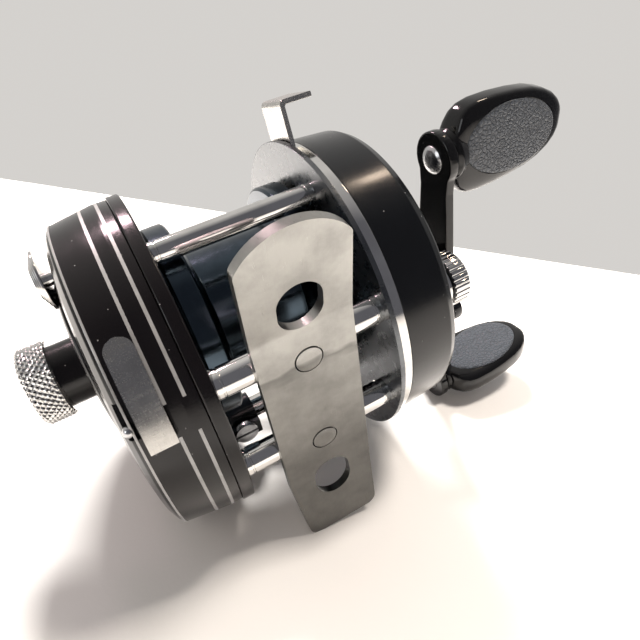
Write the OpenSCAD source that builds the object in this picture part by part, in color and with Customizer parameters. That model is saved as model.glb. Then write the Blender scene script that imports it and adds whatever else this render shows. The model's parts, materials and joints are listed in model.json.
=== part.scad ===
// Baitcasting (multiplier) fishing reel, lying on the front of its rims.
// The pieces are drawn in the reel's own frame: X is the spool axis, towards the crank,
// Y points to the rod tip and Z points away from the foot. lie() then turns every piece
// the way the reel lies on a table, so that Z is up in the finished part.

/* [Frame] */
// Outer radius of the two frame plates
plate_r = 26; // [25:0.1:27]
// Clear distance between the two frame plates
gap_w = 24.8; // [24.6:0.1:25.2]
// Thickness of the left frame plate
left_plate_t = 1.9; // [1.5:0.1:2]
// Thickness of the right frame plate
right_plate_t = 0.8; // [0.6:0.1:1]
// Radius of the two pillars that carry the foot
foot_pillar_r = 2.1; // [1.8:0.1:2.2]
// Radius of the rear pillar
rear_pillar_r = 1.65; // [1.4:0.05:1.8]

/* [Foot] */
// Width of the foot between its two bends
foot_w = 14.3; // [13:0.1:16]
// Thickness of the foot sheet
foot_t = 1.4; // [1:0.1:1.5]
// Angle by which each end of the foot is bent towards the rod
foot_bend = 10; // [6:1:12]
// Width of the two obround slots
slot_w = 6.2; // [5:0.1:6.5]

/* [Covers] */
// Outer radius of the left cover
left_cover_r = 25.7; // [25.4:0.1:25.8]
// Outer radius of the right cover beside the bright ring
right_cover_r = 25.3; // [25:0.1:25.6]
// Inner radius of both covers
cover_bore_r = 23.7; // [23.5:0.1:23.8]

/* [Spool] */
// Radius of the spool flanges
flange_r = 16.2; // [14:0.1:16.4]
// Thickness of each spool flange
flange_t = 3.8; // [2:0.1:4]
// Radius of the spool arbor
arbor_r = 10.6; // [8:0.1:11.5]
// Radius of the spool shaft
shaft_r = 1.6; // [1.5:0.1:1.8]

/* [Crank] */
// Distance between the two paddle pivots
pivot_span = 52.1; // [50:0.1:53]
// Width of the crank arm near its ends
arm_w = 6.9; // [6:0.1:8]
// Thickness of the crank arm
arm_t = 1.8; // [1.5:0.1:2.2]
// Length of a paddle
paddle_l = 22; // [18:0.5:24]
// Width of a paddle
paddle_w = 15.6; // [12:0.1:16]
// Thickness of a paddle
paddle_t = 5.6; // [5:0.1:6]

/* [Hidden] */
$fn = 64;
// Running clearance on a radius, and the gap between pieces that pass each other
fit = 0.05;
gap = 0.3;
xl = -gap_w / 2;
xr = gap_w / 2;
xlo = xl - left_plate_t;
xro = xr + right_plate_t;
// Right side, outward from the frame plate
ring_x1 = xro + 1.7;
gear_x0 = 14.6;
cover_in_x = 22.5;
cover_out_x = 25;
// Axes that run parallel to the spool, as [y, z]
spool_ax = [-3.2, 1.8];
crank_ax = [7.2, -5];
worm_ax = [21.3, 0.5];
idler_ax = [14.65, 0.22];
dog_ax = [10.6, -11.9];
side_cap_ax = [-2.6, -14.3];
rear_ax = [-20.6, -4.2];
foot_rear_ax = [-9.4, -20.5];
foot_front_ax = [7.4, -20.9];
bar_ax = [17.6, 14.2];
// Gears
gear_m = 0.35;
tooth_relief = 0.03;
main_teeth = 57;
pinion_teeth = 14;
drive_teeth = 24;
idler_teeth = 28;
worm_teeth = 10;
// Clicker: its angle about the spool axis and its distance from it
click_a = 173;
click_r = 15.2;
// Level wind: where the line guide stands
guide_x = -8.2;
// Release lever: the angle of its leg about the plates' centre
lever_a = 164;
// Neck that carries the left cap
neck_r = 5;
// Foot
foot_in_z = -22.2;
foot_out_z = foot_in_z - foot_t;
foot_y0 = -14.8;
foot_y1 = 15.9;
rear_len = 16;
front_len = 12;
rear_arc_r = 8.4;
rivet_r = 2.1;
// Crank
arm_x = 34;
arm_out_x = arm_x + arm_t;
star_x = 31.8;
pivot_r = 1.7;
paddle_x0 = arm_out_x + 1.2;
// Resting pose: how far the crank side of the spool axis rises above the table, how far the
// foot leans behind the vertical, and the shift that puts the box's bottom centre at the origin
rise = 12.1;
lean = -4.3;
lie_shift = [-14.50, 1.31, 29.93];

module lie() {
    translate(lie_shift)
        rotate([-90 - lean, -rise, 0])
            children();
}
// A bar along X from x0 to x1 at the axis [y, z]
module bar(x0, x1, r, ax = [0, 0]) {
    translate([x0, ax[0], ax[1]])
        rotate([0, 90, 0])
            cylinder(h = x1 - x0, r = r);
}
// A turned piece about the axis [y, z], from a profile of [radius, x] points
module turned(pts, ax = [0, 0]) {
    translate([0, ax[0], ax[1]])
        rotate([0, 90, 0])
            rotate_extrude()
                polygon(pts);
}
// A ring segment about the spool axis, from angle a for sweep degrees
module segment(r0, r1, x0, x1, a, sweep) {
    rotate([a, 0, 0])
        rotate([0, 90, 0])
            rotate([0, 0, 90])
                rotate_extrude(angle = sweep)
                    translate([r0, x0])
                        square([r1 - r0, x1 - x0]);
}
// A plate of thickness x1 - x0 whose outline is drawn as [y, z]
module plate_x(x0, x1) {
    translate([x0, 0, 0])
        rotate([90, 0, 90])
            linear_extrude(height = x1 - x0)
                children();
}
function polar(r, a) = [r * cos(a), r * sin(a)];
function gear_r(n) = n * gear_m / 2 - tooth_relief;
function gear_points(n, depth = 0.55) = [
    for (i = [0 : n - 1])
        for (k = [0 : 3])
            polar(gear_r(n) - ((k == 0 || k == 3) ? depth : 0), (i + [-0.3, -0.12, 0.12, 0.3][k]) * 360 / n)
];
module gear(n, x0, x1, ax, bore_r, depth = 0.55) {
    plate_x(x0, x1)
        translate(ax)
            difference() {
                polygon(gear_points(n, depth));
                circle(r = bore_r);
            }
}
// Flutes around a cap, as grooves cut along X
module flutes(r, x0, x1, ax, n, groove_r) {
    for (i = [0 : n - 1])
        bar(x0, x1, groove_r, ax + polar(r, i * 360 / n), $fn = 16);
}

// ---- frame ----
module frame_left_plate() {
    color("black")
        lie()
            difference() {
                turned([[19.4, xlo], [plate_r - 0.3, xlo], [plate_r, xlo + 0.3], [plate_r, xl], [19.4, xl]]);
                bar(xlo - 1, xl + 1, 1.2 + fit, worm_ax);
            }
}
module frame_right_plate() {
    color([0.2, 0.2, 0.21])
        lie()
            difference() {
                union() {
                    bar(xr, xro, plate_r);
                    bar(xro, 14.4, 2.8, crank_ax);
                    bar(xro, 15.8, 1, idler_ax);
                    bar(xro, 16.2, 1, dog_ax);
                    difference() {
                        bar(xro, 14.4, 17.4);
                        bar(xro - 1, 15, 16.6);
                    }
                }
                bar(xr - 1, xro + 1, 3.4, spool_ax);
                bar(xr - 1, 15, 1.2 + fit, crank_ax);
                bar(xr - 1, xro + 1, 1.2 + fit, worm_ax);
            }
}
module pillar_seat() {
    translate([-foot_w / 2, -30, foot_in_z - 10])
        cube([foot_w, 60, 10]);
}
module rear_pillar() {
    color("silver")
        lie()
            bar(xl, xr, rear_pillar_r, rear_ax);
}
module foot_pillar_rear() {
    color("silver")
        lie()
            difference() {
                bar(xl, xr, foot_pillar_r, foot_rear_ax);
                pillar_seat();
            }
}
module foot_pillar_front() {
    color("silver")
        lie()
            difference() {
                bar(xl, xr, foot_pillar_r, foot_front_ax);
                pillar_seat();
            }
}
// A slot through the foot sheet, centred at y
module foot_slot(y) {
    for (s = [-1, 1])
        translate([0, y + s * 0.7, -50])
            cylinder(h = 100, r = slot_w / 2);
    translate([-slot_w / 2, y - 0.7, -50])
        cube([slot_w, 1.4, 100]);
}
// A corner of the foot's side outline: along the sheet from the middle, past one bend
function past_bend(y, side, along, depth) = [
    y + side * (along * cos(foot_bend) - depth * sin(foot_bend)),
    foot_in_z - along * sin(foot_bend) - depth * cos(foot_bend)
];
module foot_outline() {
    rear_c = foot_y0 - rear_len * cos(foot_bend) + rear_arc_r;
    front = foot_y1 + front_len * cos(foot_bend);
    arc_a = asin(foot_w / 2 / rear_arc_r);
    polygon(concat(
        [for (i = [-8 : 8]) [rear_arc_r * sin(arc_a * i / 8), rear_c - rear_arc_r * cos(arc_a * i / 8)]],
        [
            [foot_w / 2, foot_y1], [foot_w / 2 - 0.9, front - 1.6], [foot_w / 2 - 1.3, front - 0.6],
            [foot_w / 2 - 2.3, front], [2.3 - foot_w / 2, front], [1.3 - foot_w / 2, front - 0.6],
            [0.9 - foot_w / 2, front - 1.6], [-foot_w / 2, foot_y1]
        ]
    ));
}
module foot() {
    mitre = foot_t * tan(foot_bend / 2);
    color([0.62, 0.6, 0.57])
        lie()
            difference() {
                intersection() {
                    plate_x(-foot_w, foot_w)
                        polygon([
                            past_bend(foot_y1, 1, front_len + 1, 0), [foot_y1, foot_in_z], [foot_y0, foot_in_z],
                            past_bend(foot_y0, -1, rear_len + 1, 0), past_bend(foot_y0, -1, rear_len + 1, foot_t),
                            [foot_y0 + mitre, foot_out_z], [foot_y1 - mitre, foot_out_z],
                            past_bend(foot_y1, 1, front_len + 1, foot_t)
                        ]);
                    translate([0, 0, -40])
                        linear_extrude(height = 40)
                            foot_outline();
                }
                foot_slot(-18.9);
                foot_slot(17.1);
                for (y = [foot_rear_ax[0], foot_front_ax[0]])
                    translate([0, y, -50])
                        cylinder(h = 100, r = rivet_r);
            }
}
module foot_rivets() {
    color("silver")
        lie()
            for (y = [foot_rear_ax[0], foot_front_ax[0]])
                translate([0, y, foot_out_z])
                    cylinder(h = foot_t, r = rivet_r);
}

// ---- right side ----
module side_ring() {
    color("silver")
        lie()
            difference() {
                turned([[cover_bore_r, xro], [25.35, xro], [25.35, ring_x1], [cover_bore_r, ring_x1]]);
                segment(20, 30, xro - 1, ring_x1 - 0.3, lever_a - 34, 46);
            }
}
module right_cover() {
    color("black")
        lie()
            difference() {
                union() {
                    turned([
                        [cover_bore_r, ring_x1], [right_cover_r, ring_x1], [24.7, 22.6], [24.3, 23.6], [23.4, 24.3],
                        [21, cover_out_x], [0, cover_out_x], [0, cover_in_x], [cover_bore_r, cover_in_x]
                    ]);
                    bar(20.2, cover_in_x, 5.2, spool_ax);
                    bar(cover_out_x, 27, 5.6, crank_ax);
                }
                bar(20, 22.4, 4, spool_ax);
                bar(20, 30, 4, crank_ax);
                bar(20, 30, 2.5, side_cap_ax);
                for (a = [60, 180, 300])
                    bar(20, 30, 1, polar(19.5, a));
            }
}
module cover_screws() {
    color("silver")
        lie()
            for (a = [60, 180, 300])
                difference() {
                    union() {
                        bar(cover_in_x, cover_out_x, 1, polar(19.5, a));
                        bar(cover_out_x, cover_out_x + 0.8, 1.9, polar(19.5, a));
                    }
                    translate([cover_out_x + 0.4, polar(19.5, a)[0] - 2.5, polar(19.5, a)[1] - 0.25])
                        cube([1, 5, 0.5]);
                }
}
module side_cap_collar() {
    color("silver")
        lie()
            union() {
                bar(cover_in_x, cover_out_x, 2.5, side_cap_ax);
                bar(cover_out_x, 28, 4, side_cap_ax);
                bar(28, 30.9, 2.2, side_cap_ax);
            }
}
module side_cap() {
    color("silver")
        lie()
            difference() {
                turned([
                    [2.2 + fit, 28.1], [4.1, 28.1], [4.5, 28.4], [4.5, 31], [4.1, 31.4], [0, 31.4], [0, 31],
                    [2.2 + fit, 31]
                ], side_cap_ax);
                flutes(4.62, 27, 32, side_cap_ax, 30, 0.28);
            }
}

// ---- left side ----
module left_cover() {
    color("black")
        lie()
            difference() {
                union() {
                    turned([
                        [cover_bore_r, xlo], [left_cover_r, xlo], [left_cover_r, -16.5], [24.9, -22.4], [24.5, -23.2],
                        [23, -24.1], [20.6, -24.7], [0, -24.7], [0, -22.4], [cover_bore_r, -22.4]
                    ]);
                    bar(-26, -24, 13.6, spool_ax);
                    bar(-33.6, -25, neck_r, spool_ax);
                    bar(-22.5, -19, 5.2, spool_ax);
                }
                bar(-22.3, -18, 4, spool_ax);
                bar(-40, -18, 1.8, spool_ax);
                // slot for the clicker's stem
                at_clicker() {
                    for (r = [click_r - 2, click_r])
                        bar(-30, -20, 1.3, [r, 0]);
                    translate([-30, click_r - 2, -1.3])
                        cube([10, 2, 2.6]);
                }
                // notch in the rim beside the latch
                rotate([-116, 0, 0])
                    translate([-24, 24.2, -2.4])
                        cube([1.9, 3, 4.8]);
            }
}
module left_washer() {
    color("silver")
        lie()
            turned([[neck_r, -26.6], [neck_r + 1.2, -26.6], [neck_r + 1.2, -26], [neck_r, -26]], spool_ax);
}
module left_cap() {
    color("silver")
        lie()
            difference() {
                turned([
                    [neck_r + fit, -30.8], [5.7, -30.8], [6.2, -31.2], [6.2, -34.8], [5.7, -35.2], [0, -35.2], [0, -34],
                    [neck_r + fit, -34]
                ], spool_ax);
                flutes(6.3, -36, -30, spool_ax, 36, 0.3);
            }
}
// Places a child drawn with the clicker's way towards the spool axis along Y
module at_clicker() {
    translate([0, spool_ax[0], spool_ax[1]])
        rotate([click_a, 0, 0])
            children();
}
module click_button() {
    color("silver")
        lie()
            at_clicker()
                union() {
                    bar(-26.4, -22, 1, [click_r, 0]);
                    for (i = [0 : 3])
                        bar(-26.5 - i * 0.3, -26.1 - i * 0.3, 4.4 - i * 0.6, [click_r, 0]);
                }
}
module click_pawl() {
    color("gray")
        lie()
            at_clicker()
                union() {
                    bar(-22, -17.2, 1, [click_r, 0]);
                    plate_x(-18.2, -17.2)
                        polygon([[click_r, 1], [click_r, -1], [8.9, -0.6], [8.2, 0], [8.9, 0.6]]);
                }
}
module click_wheel() {
    color("gold")
        lie()
            plate_x(-18.2, -17.2)
                translate(spool_ax)
                    difference() {
                        polygon(gear_points(34, 0.8));
                        circle(r = shaft_r);
                    }
}
module latch_lever() {
    color([0.62, 0.6, 0.57])
        lie()
            difference() {
                segment(left_cover_r + gap, left_cover_r + gap + 0.8, -22.1, -18.6, -139, 31);
                rotate([-139, 0, 0])
                    for (s = [-1, 1])
                        translate([-20.5 + s * 1.9, 20, 0])
                            rotate([-90, 0, 0])
                                rotate([0, 0, 45])
                                    translate([-1.1, -1.1, 0])
                                        cube([2.2, 2.2, 10]);
            }
}
module latch_pin() {
    color("silver")
        lie()
            rotate([-114.5, 0, 0])
                translate([-23.3, 24.2, 0])
                    union() {
                        sphere(r = 0.8);
                        rotate([90, 0, 0])
                            cylinder(h = 1.4, r = 0.5);
                    }
}

// ---- spool ----
module spool() {
    color("black")
        lie()
            turned([
                [shaft_r, xl + 0.5], [flange_r - 0.5, xl + 0.5], [flange_r, xl + 1], [flange_r, xl + 4],
                [flange_r - 0.4, xl + 4.4], [arbor_r + 1.3, xl + 4.4], [arbor_r, xl + 5.6], [arbor_r, xr - 5.6],
                [arbor_r + 1.3, xr - 4.4], [flange_r - 0.4, xr - 4.4], [flange_r, xr - 4], [flange_r, xr - 1],
                [flange_r - 0.5, xr - 0.5], [shaft_r, xr - 0.5]
            ], spool_ax);
}
module spool_shaft() {
    color("silver")
        lie()
            turned([[0, -33.2], [shaft_r, -33.2], [shaft_r, 13.5], [1, 13.5], [1, 22.2], [0, 22.2]], spool_ax);
}
module bearing_left() {
    color("silver")
        lie()
            turned([[shaft_r + fit, -22.3], [4, -22.3], [4, -19.6], [shaft_r + fit, -19.6]], spool_ax);
}
module bearing_right() {
    color("silver")
        lie()
            turned([[1 + fit, 20.4], [4, 20.4], [4, 22.4], [1 + fit, 22.4]], spool_ax);
}
module pinion() {
    color("gold")
        lie()
            union() {
                gear(pinion_teeth, 15.9, 18, spool_ax, 1);
                turned([[1, 18], [1.45, 18], [1.45, 19.8], [1, 19.8]], spool_ax);
            }
}
module brake_ring() {
    color("gray")
        lie()
            difference() {
                union() {
                    bar(-16.2, -15.6, cover_bore_r);
                    bar(-15.7, -12.8, 10, spool_ax);
                }
                bar(-17, -12, 9, spool_ax);
            }
}
module brake_pin() {
    color("silver")
        lie()
            translate([-14, spool_ax[0], spool_ax[1]])
                rotate([90, 0, 0])
                    difference() {
                        translate([0, 0, -8.6])
                            cylinder(h = 17.2, r = 0.6);
                        translate([0, 0, -shaft_r])
                            cylinder(h = 2 * shaft_r, r = 2);
                    }
}
module brake_block(s) {
    translate([-14, spool_ax[0] + s * 5.2, spool_ax[1]])
        rotate([-90 * s, 0, 0])
            difference() {
                cylinder(h = 2.6, r = 1.2);
                translate([0, 0, -1])
                    cylinder(h = 5, r = 0.6 + fit);
            }
}
module brake_block_a() {
    color([0.6, 0.15, 0.1])
        lie()
            brake_block(1);
}
module brake_block_b() {
    color([0.6, 0.15, 0.1])
        lie()
            brake_block(-1);
}

// ---- drive ----
module drive_shaft() {
    color("silver")
        lie()
            turned([[0, 12.5], [1.2, 12.5], [1.2, 14.5], [2, 14.5], [2, arm_out_x + 3], [0, arm_out_x + 3]], crank_ax);
}
module drive_bush() {
    color("gold")
        lie()
            turned([[2 + fit, cover_in_x], [4, cover_in_x], [4, 27], [2 + fit, 27]], crank_ax);
}
module main_gear() {
    color("gold")
        lie()
            gear(main_teeth, 16.5, 18.5, crank_ax, 2);
}
module level_drive_gear() {
    color("ivory")
        lie()
            gear(drive_teeth, gear_x0, 15.5, crank_ax, 2);
}
module ratchet() {
    color("silver")
        lie()
            plate_x(15.6, 16.2)
                translate(crank_ax)
                    difference() {
                        polygon([
                            for (i = [0 : 11])
                                for (k = [0 : 1])
                                    polar(k == 0 ? 4.6 : 3.8, i * 30 + k * 2)
                        ]);
                        circle(r = 2);
                    }
}
module dog() {
    color("silver")
        lie()
            difference() {
                union() {
                    bar(15.6, 16.2, 1.7, dog_ax);
                    plate_x(15.6, 16.2)
                        polygon([
                            dog_ax + [-0.2, 1.6], dog_ax + [-1.5, 0.6], dog_ax + [-3.6, 1.6], dog_ax + [-3.3, 2.1],
                            dog_ax + [-1.2, 1.9]
                        ]);
                }
                bar(15, 17, 1 + fit, dog_ax);
            }
}
module drag_washers() {
    color([0.35, 0.25, 0.18])
        lie()
            turned([
                [2, 18.5], [6.4, 18.5], [6.4, 18.9], [5.8, 18.9], [5.8, 19.2], [6.4, 19.2], [6.4, 19.6], [5.8, 19.6],
                [5.8, 19.9], [4, 19.9], [4, 20.1], [2, 20.1]
            ], crank_ax);
}
module idler_gear() {
    color("ivory")
        lie()
            gear(idler_teeth, gear_x0, 15.5, idler_ax, 1 + fit);
}
module yoke() {
    color("silver")
        lie()
            plate_x(18.3, 18.7)
                translate(spool_ax)
                    difference() {
                        translate([-12.4, -3.6])
                            square([12.6, 7.2]);
                        translate([-1.8, -1.8])
                            square([5, 3.6]);
                        translate([-10.6, -1.2])
                            square([5, 2.4]);
                    }
}
module release_lever() {
    color([0.7, 0.68, 0.64])
        lie()
            difference() {
                union() {
                    bar(13.5, 14.3, 19.7);
                    rotate([lever_a, 0, 0])
                        translate([0, 0, -4.1])
                            linear_extrude(height = 8.2)
                                polygon([[13.5, 15], [14.3, 15], [14.3, 30.9], [18.9, 30.9], [18.9, 31.7], [13.5, 31.7]]);
                }
                bar(12, 16, 17.4 + fit);
            }
}

// ---- level wind ----
module worm_shaft() {
    color("silver")
        lie()
            difference() {
                bar(xlo + 0.2, 15.6, 1.2, worm_ax);
                for (x = [-9 : 2.25 : 9])
                    turned([[1, x - 0.35], [1.5, x - 0.35], [1.5, x + 0.35], [1, x + 0.35]], worm_ax);
            }
}
module worm_gear() {
    color("ivory")
        lie()
            gear(worm_teeth, gear_x0, 15.5, worm_ax, 1.2, 0.3);
}
module worm_tube() {
    color("silver")
        lie()
            difference() {
                bar(xl, xr, 2.1, worm_ax);
                bar(xl - 1, xr + 1, 1.2 + gap, worm_ax);
                translate([-10.4, worm_ax[0] - 0.8, worm_ax[1] - 5])
                    cube([20.8, 1.6, 5]);
            }
}
module guide_bar() {
    color("silver")
        lie()
            bar(xl, xr, 0.9, bar_ax);
}
module line_guide() {
    color([0.12, 0.12, 0.12])
        lie()
            difference() {
                union() {
                    bar(guide_x - 3.2, guide_x + 3.2, 3.3, worm_ax);
                    translate([guide_x - 3.2, worm_ax[0] - 0.9, -3.8])
                        cube([6.4, 3.4, 4.4]);
                    plate_x(guide_x - 1.1, guide_x + 1.1)
                        polygon([[22.2, 2.6], [24.4, 1.6], [22.2, 15.8], [17.2, 16.3], [16, 14.9], [16, 13.2], [19.9, 12.2]]);
                }
                bar(-20, 20, 2.1 + fit, worm_ax);
                bar(-20, 20, 0.9 + fit, bar_ax);
                translate([guide_x, worm_ax[0], -9])
                    cylinder(h = 9.6, r = 0.75 + fit);
                translate([guide_x, 16, 8])
                    rotate([-90, 0, 0])
                        cylinder(h = 10, r = 0.7);
            }
}
module guide_pawl() {
    color("gold")
        lie()
            translate([guide_x, worm_ax[0], -3.6])
                cylinder(h = 2.5, r = 0.75);
}
module pawl_cap() {
    color("silver")
        lie()
            translate([guide_x, worm_ax[0], -5])
                difference() {
                    cylinder(h = 1.2, r = 2.2);
                    translate([-3, -0.3, -0.5])
                        cube([6, 0.6, 1]);
                }
}

// ---- handle ----
module star_drag() {
    color("black")
        lie()
            difference() {
                union() {
                    bar(27.3, star_x + 1.6, 3.6, crank_ax);
                    plate_x(star_x, star_x + 1.6)
                        translate(crank_ax)
                            union() {
                                circle(r = 5.2);
                                for (i = [0 : 4])
                                    rotate(-98 + i * 72) {
                                        translate([0, -2])
                                            square([7.4, 4]);
                                        translate([7.2, 0])
                                            circle(r = 2.6);
                                    }
                            }
                }
                bar(20, 40, 2 + fit, crank_ax);
            }
}
module crank_arm() {
    color("black")
        lie()
            difference() {
                union() {
                    bar(arm_x, arm_out_x, 5.4, crank_ax);
                    for (s = [-1, 1])
                        bar(arm_x, arm_out_x, 4.3, crank_ax + [s * pivot_span / 2, 0]);
                    plate_x(arm_x, arm_out_x)
                        translate(crank_ax)
                            polygon([
                                [6, arm_w * 0.58], [pivot_span * 0.46, arm_w / 2], [pivot_span * 0.46, -arm_w / 2],
                                [6, -arm_w * 0.58], [-6, -arm_w * 0.58], [-pivot_span * 0.46, -arm_w / 2],
                                [-pivot_span * 0.46, arm_w / 2], [-6, arm_w * 0.58]
                            ]);
                }
                bar(30, 40, 2, crank_ax);
                for (s = [-1, 1])
                    bar(30, 40, pivot_r, crank_ax + [s * pivot_span / 2, 0]);
            }
}
module handle_nut() {
    color("silver")
        lie()
            difference() {
                bar(arm_out_x, arm_out_x + 2.6, 4, crank_ax, $fn = 6);
                bar(arm_x, 50, 2, crank_ax);
            }
}
// Rivets that carry the paddles: a domed head inboard, a long post and a flange outboard
module pivot_rivets() {
    color("gray")
        lie()
            for (s = [-1, 1])
                turned([
                    [0, arm_x - 1], [1.2, arm_x - 0.9], [2.3, arm_x - 0.3], [2.3, arm_x], [pivot_r, arm_x],
                    [pivot_r, paddle_x0 + 12], [0, paddle_x0 + 12]
                ], crank_ax + [s * pivot_span / 2, 0]);
}
// A paddle about the X axis: a turned neck and a flat rounded grip, wide along Y
module paddle() {
    difference() {
        union() {
            turned([
                [0, arm_out_x + gap], [3.6, arm_out_x + gap], [4.2, arm_out_x + 1], [3.4, arm_out_x + 2.6],
                [2.6, arm_out_x + 3.6], [0, arm_out_x + 3.6]
            ]);
            intersection() {
                plate_x(paddle_x0, paddle_x0 + paddle_l)
                    union() {
                        square([paddle_w - paddle_t, paddle_t], center = true);
                        for (s = [-1, 1])
                            translate([s * (paddle_w - paddle_t) / 2, 0])
                                circle(r = paddle_t / 2);
                    }
                translate([0, 0, -10])
                    linear_extrude(height = 20)
                        polygon([
                            [paddle_x0, -3], [paddle_x0 + 1, -5.2], [paddle_x0 + 3.4, -7.2], [paddle_x0 + 7, -paddle_w / 2],
                            [paddle_x0 + 16, -paddle_w / 2], [paddle_x0 + 19.6, -6.4], [paddle_x0 + 21.4, -3.6],
                            [paddle_x0 + 22, 0], [paddle_x0 + 21.4, 3.6], [paddle_x0 + 19.6, 6.4],
                            [paddle_x0 + 16, paddle_w / 2], [paddle_x0 + 7, paddle_w / 2], [paddle_x0 + 3.4, 7.2],
                            [paddle_x0 + 1, 5.2], [paddle_x0, 3]
                        ]);
            }
        }
        bar(30, paddle_x0 + 12.3, pivot_r + fit);
        pads(0.6);
    }
}
// The two inset grip pads of a paddle
module pads(depth) {
    for (s = [-1, 1])
        translate([paddle_x0 + 12, 0, s * (paddle_t / 2 - depth / 2)])
            linear_extrude(height = depth, center = true)
                intersection() {
                    square([15.6, 9.4], center = true);
                    circle(r = 7.6);
                }
}
module paddle_at(s, turn) {
    translate([0, crank_ax[0] + s * pivot_span / 2, crank_ax[1]])
        rotate([turn, 0, 0])
            children();
}
module paddle_upper() {
    color("black")
        lie()
            paddle_at(-1, 0)
                paddle();
}
module paddle_lower() {
    color("black")
        lie()
            paddle_at(1, 90 + lean)
                paddle();
}
module pads_upper() {
    color([0.25, 0.26, 0.28])
        lie()
            paddle_at(-1, 0)
                pads(0.6);
}
module pads_lower() {
    color([0.25, 0.26, 0.28])
        lie()
            paddle_at(1, 90 + lean)
                pads(0.6);
}

frame_left_plate();
frame_right_plate();
rear_pillar();
foot_pillar_rear();
foot_pillar_front();
foot();
foot_rivets();
side_ring();
right_cover();
cover_screws();
left_cover();
left_washer();
left_cap();
click_button();
click_pawl();
click_wheel();
latch_lever();
latch_pin();
spool();
spool_shaft();
bearing_left();
bearing_right();
pinion();
main_gear();
level_drive_gear();
ratchet();
dog();
drag_washers();
drive_shaft();
drive_bush();
idler_gear();
worm_shaft();
worm_gear();
worm_tube();
guide_bar();
line_guide();
guide_pawl();
pawl_cap();
brake_ring();
brake_pin();
brake_block_a();
brake_block_b();
release_lever();
yoke();
side_cap_collar();
side_cap();
star_drag();
crank_arm();
handle_nut();
pivot_rivets();
paddle_upper();
paddle_lower();
pads_upper();
pads_lower();
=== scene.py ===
"""A baitcasting fishing reel lying on a pale table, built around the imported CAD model.

Pieces are modelled in the reel's own frame, in millimetres: X runs along the spool towards the
crank, Y points to the rod tip and Z points away from the rod foot. REEL turns that frame into
the CAD model's frame, in metres, and comes from the model's own joints.
"""
import math

import bmesh
import bpy
from mathutils import Matrix, Vector
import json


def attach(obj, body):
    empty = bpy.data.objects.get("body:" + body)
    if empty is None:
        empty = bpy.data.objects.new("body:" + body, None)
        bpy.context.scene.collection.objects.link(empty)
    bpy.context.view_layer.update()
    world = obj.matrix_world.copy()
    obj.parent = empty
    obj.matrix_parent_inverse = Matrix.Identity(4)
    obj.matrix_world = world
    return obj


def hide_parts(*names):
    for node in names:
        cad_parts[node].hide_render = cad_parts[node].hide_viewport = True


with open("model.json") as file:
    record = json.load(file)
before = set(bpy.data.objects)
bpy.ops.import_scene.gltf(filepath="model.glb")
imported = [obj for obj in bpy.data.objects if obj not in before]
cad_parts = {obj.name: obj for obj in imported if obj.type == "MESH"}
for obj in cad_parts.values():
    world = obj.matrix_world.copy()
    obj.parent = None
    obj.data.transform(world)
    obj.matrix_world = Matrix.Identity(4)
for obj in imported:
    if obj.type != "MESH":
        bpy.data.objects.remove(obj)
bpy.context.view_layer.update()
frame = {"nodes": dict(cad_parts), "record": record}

scene = bpy.context.scene
JOINTS = {joint["name"]: joint for joint in frame["record"]["behaviour"]["joints"]}
SLOTS = {part["node"]: part["material_slot"] for part in frame["record"]["subparts"]}
MM = 0.001

# Half the clear gap between the frame plates, and the left plate's outer face, along X
GAP_HALF, LEFT_PLATE_X = 12.4, -14.3
# Left cover: its rim, its front edge and its bore
LEFT_RIM, LEFT_EDGE, COVER_BORE = 25.7, 24.85, 23.7
# Clicker: its angle about the spool axis, its distance from it at rest, and how far it slides inward
CLICKER_ANGLE, CLICKER_REACH, CLICKER_TRAVEL = math.radians(173), 15.2, 2.0
# Release lever: the angle of its leg about the plates' centre, and half its width
LEVER_ANGLE, LEVER_HALF = math.radians(164), 4.1
# Foot: half its width, its faces along Z, where its bends begin along Y, and how far they turn
FOOT_HALF, FOOT_IN, FOOT_OUT = 7.15, -22.2, -23.6
FRONT_BEND, REAR_BEND, FOOT_BEND = 15.9, -14.8, math.radians(10)
# Foot rivets, which stand on the pillars: where they are along Y
RIVET_PLACES = (-9.4, 7.4)


def reel_frame():
    """The matrix from the reel's millimetres to the model's metres.

    The latch turns about the middle of the frame plates, and its joint stands at x = -20.
    """
    x = Vector(JOINTS["latch_turn"]["axis"]).normalized()
    y = Vector(JOINTS["brake_a_travel"]["axis"]).normalized()
    turn = Matrix((x, y, x.cross(y))).transposed().to_4x4()
    turn.translation = Vector(JOINTS["latch_turn"]["pos_m"]) + x * 20 * MM
    return turn @ Matrix.Scale(MM, 4)


REEL = reel_frame()
REEL_MIDDLE = (0, 0, 0.03)


def axis_of(joint):
    """Where a joint's axis, parallel to the spool, crosses the reel's YZ plane."""
    point = REEL.inverted() @ Vector(JOINTS[joint]["pos_m"])
    return (point.y, point.z)


# ---- camera, floor and lights ----

def add_camera():
    """The viewer's camera, placed in the reel's own frame so that it keeps to the reel."""
    data = bpy.data.cameras.new("camera")
    data.lens = 29.85
    data.sensor_width = 36
    data.clip_start = 0.005
    camera = bpy.data.objects.new("camera", data)
    camera.location = REEL @ Vector((-16.46, -57.88, -69.26))
    camera.rotation_euler = [math.radians(a) for a in (58.08, -1.30, -27.91)]
    scene.collection.objects.link(camera)
    scene.camera = camera


def add_light(name, where, target, power, width, height, color, shine=False):
    """A rectangular lamp; with shine off it lights and casts shadows, but nothing reflects it."""
    data = bpy.data.lights.new(name, "AREA")
    data.energy = power
    data.color = color
    data.shape = "RECTANGLE"
    data.size = width
    data.size_y = height
    light = bpy.data.objects.new(name, data)
    light.location = where
    aim = Vector(target) - Vector(where)
    light.rotation_euler = aim.to_track_quat("-Z", "Y").to_euler()
    light.visible_glossy = shine
    scene.collection.objects.link(light)
    return light


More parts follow.
